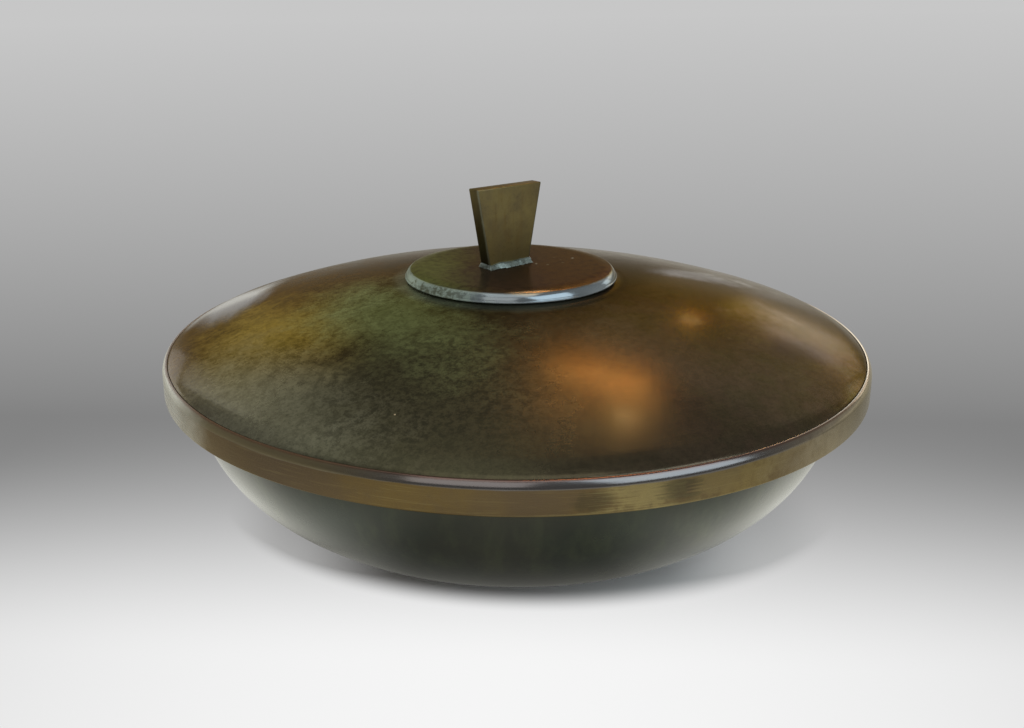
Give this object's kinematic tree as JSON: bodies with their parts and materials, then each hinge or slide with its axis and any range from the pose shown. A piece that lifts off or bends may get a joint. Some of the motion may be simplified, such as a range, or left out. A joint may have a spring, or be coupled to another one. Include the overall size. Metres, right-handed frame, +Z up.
{
  "type": "covered bowl",
  "caption": "Wide shallow round bowl with a domed lift-off lid, banded rim and a keystone plate finial on a raised disc, in patinated bronze.",
  "frame": {"origin": "centre of the foot, on the surface that the bowl stands on", "axes": "+Z up along the axis of revolution, +X along the width of the finial plate, so that its broad faces look along +Y and -Y"},
  "size_m": [0.24, 0.24, 0.1158],
  "materials": {
    "bowl_bronze": "dark green-grey patina, satin",
    "lid_bronze": "mottled olive, green and brown patina, waxed",
    "band_bronze": "rubbed golden brown, satin",
    "disc_bronze": "brown and green patina, polished edge",
    "finial_bronze": "olive brown, worn edges",
    "braze_grey": "rough grey-green braze"
  },
  "bodies": {
    "bowl_body": {"bowl": "bowl_bronze", "foot_ring": "bowl_bronze"},
    "lid_body": {"rim_band": "band_bronze", "locating_collar": "band_bronze", "lid_shell": "lid_bronze", "top_disc": "disc_bronze", "finial": "finial_bronze", "finial_braze": "braze_grey"}
  },
  "joints": [
    {"name": "lid_lift", "type": "slide", "parent": "bowl_body", "child": "lid_body", "axis": [0, 0, 1], "range_m": [0, 0.1]}
  ]
}
